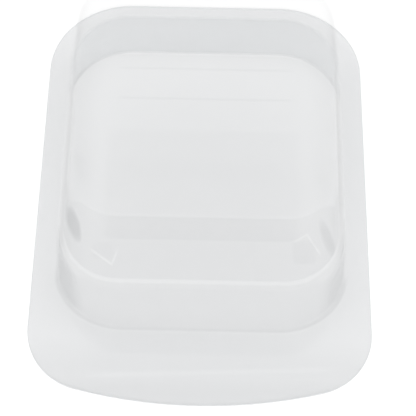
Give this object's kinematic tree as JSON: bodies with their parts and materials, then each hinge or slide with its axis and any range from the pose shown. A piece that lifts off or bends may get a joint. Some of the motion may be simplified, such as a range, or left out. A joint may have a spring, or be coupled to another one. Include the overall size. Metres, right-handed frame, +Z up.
{
  "type": "soap loaf mould",
  "caption": "Clear one-piece vacuum-formed mould for a soap block: a low rounded-corner box with drafted walls and a flat rim, stood on the rim with its cavity facing down.",
  "frame": {"origin": "middle of the rim's underside, the face it stands on", "axes": "+Y along the mould, towards the end with the narrower margin of rim; +Z up out of the block's flat top"},
  "size_m": [0.133, 0.188, 0.0325],
  "materials": {
    "clear_sheet": "clear thermoformed sheet, glossy on both sides, faintly wavy where it was drawn"
  },
  "bodies": {
    "root": {"mould_tray": "clear_sheet"}
  },
  "joints": []
}
